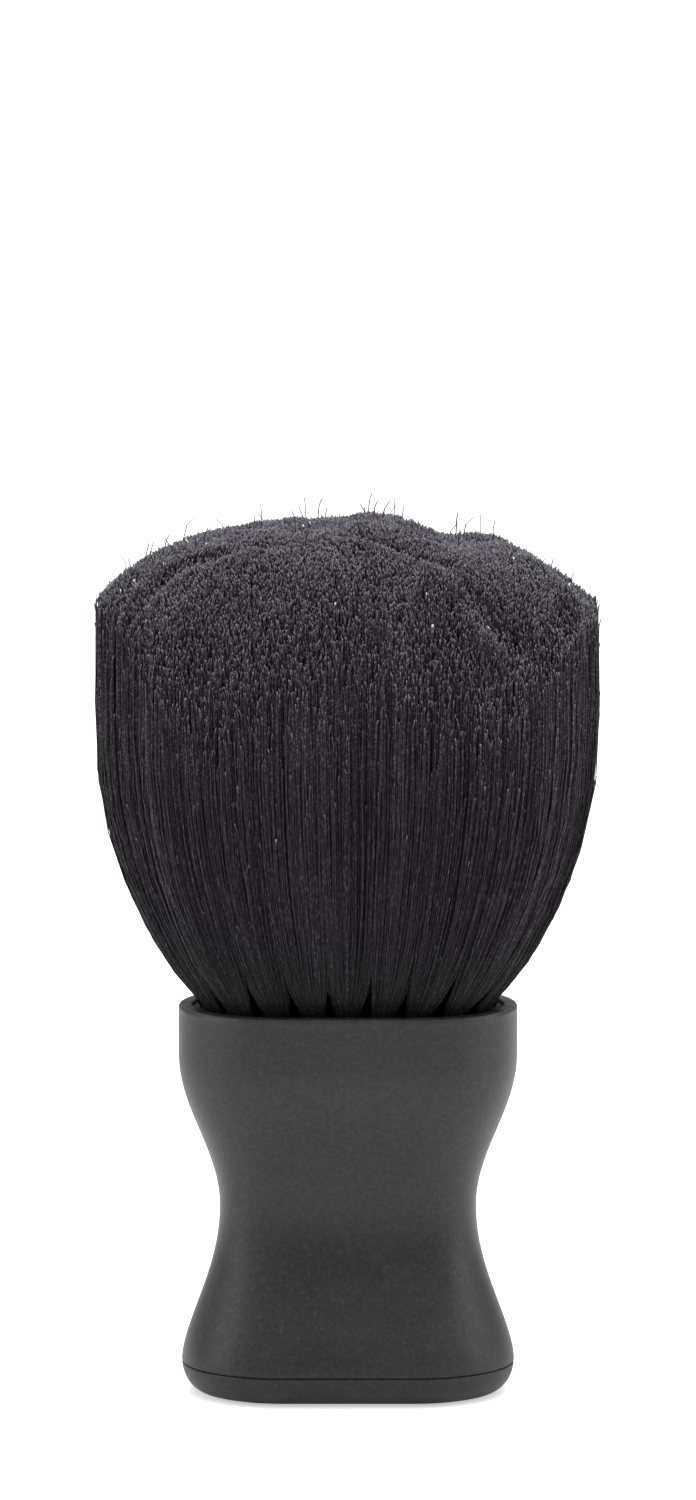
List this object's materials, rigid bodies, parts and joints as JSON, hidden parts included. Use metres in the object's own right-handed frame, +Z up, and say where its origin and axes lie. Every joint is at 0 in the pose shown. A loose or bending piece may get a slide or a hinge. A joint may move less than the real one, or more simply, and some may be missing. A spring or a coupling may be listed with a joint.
{
  "type": "neck duster brush",
  "caption": "Free-standing oval neck duster: a dense dome of soft dark bristle tufts set in a block, screwed into a waisted hollow handle with a snap-in foot cap",
  "frame": {"origin": "middle of the flat underside the brush stands on", "axes": "+Z up, from the foot to the top of the bristle dome; X along the wide side of the oval; Y front to back, the front faces -Y"},
  "size_m": [0.078, 0.056, 0.138],
  "materials": {
    "bristle": "very fine soft dark filaments, dull, paler at the cut tips",
    "handle_plastic": "dark satin moulded plastic with a fine grain",
    "block_plastic": "dark dull moulded plastic",
    "staple_wire": "drawn flat wire",
    "screw_steel": "zinc plated"
  },
  "bodies": {
    "root": {"base_cap": "handle_plastic", "handle_shell": "handle_plastic", "block_screws": "screw_steel", "tuft_block": "block_plastic", "anchor_staples": "staple_wire", "tuft_core_1": "bristle", "tuft_core_2": "bristle", "tuft_core_3": "bristle", "tuft_core_4": "bristle", "tuft_core_5": "bristle", "tuft_mid_01": "bristle", "tuft_mid_02": "bristle", "tuft_mid_03": "bristle", "tuft_mid_04": "bristle", "tuft_mid_05": "bristle", "tuft_mid_06": "bristle", "tuft_mid_07": "bristle", "tuft_mid_08": "bristle", "tuft_mid_09": "bristle", "tuft_mid_10": "bristle", "tuft_mid_11": "bristle", "tuft_mid_12": "bristle", "tuft_mid_13": "bristle", "tuft_mid_14": "bristle", "tuft_rim_01": "bristle", "tuft_rim_02": "bristle", "tuft_rim_03": "bristle", "tuft_rim_04": "bristle", "tuft_rim_05": "bristle", "tuft_rim_06": "bristle", "tuft_rim_07": "bristle", "tuft_rim_08": "bristle", "tuft_rim_09": "bristle", "tuft_rim_10": "bristle", "tuft_rim_11": "bristle", "tuft_rim_12": "bristle", "tuft_rim_13": "bristle", "tuft_rim_14": "bristle", "tuft_rim_15": "bristle", "tuft_rim_16": "bristle", "tuft_rim_17": "bristle", "tuft_rim_18": "bristle", "tuft_rim_19": "bristle", "tuft_rim_20": "bristle"}
  },
  "joints": []
}
